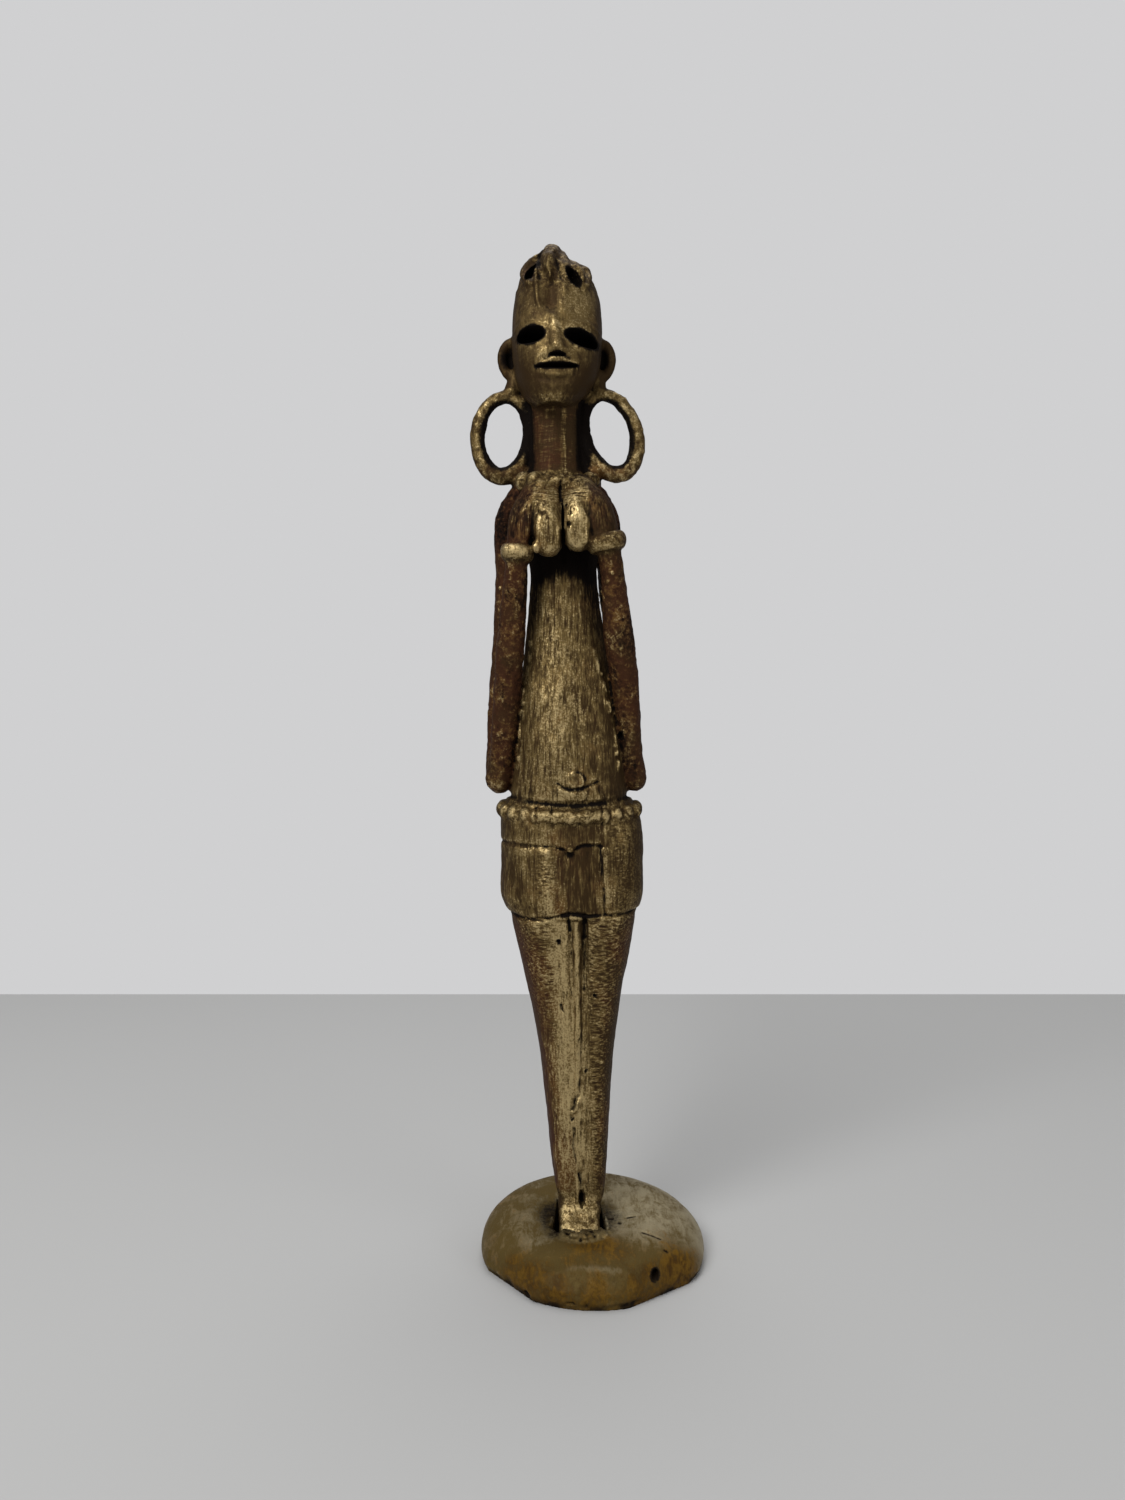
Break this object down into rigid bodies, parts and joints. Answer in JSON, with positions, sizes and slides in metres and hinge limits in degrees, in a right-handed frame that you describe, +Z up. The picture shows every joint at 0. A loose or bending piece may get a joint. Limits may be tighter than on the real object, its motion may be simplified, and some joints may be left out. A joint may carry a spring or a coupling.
{
  "type": "african female statuette",
  "caption": "Slender cast brass woman holding her chest, with hoop earrings, bead belt and short wrap skirt, standing on a pebble-shaped base.",
  "frame": {"origin": "centre of the base's flat underside", "axes": "+Z up along the figure, which faces -Y; +X to the viewer's right"},
  "size_m": [0.0515, 0.0508, 0.2196],
  "materials": {
    "figure_brass": "patinated, brushed on the body, darker on the arms",
    "base_brass": "dull olive patina, orange on the front rim"
  },
  "bodies": {
    "root": {"figure": "figure_brass", "base": "base_brass"}
  },
  "joints": []
}
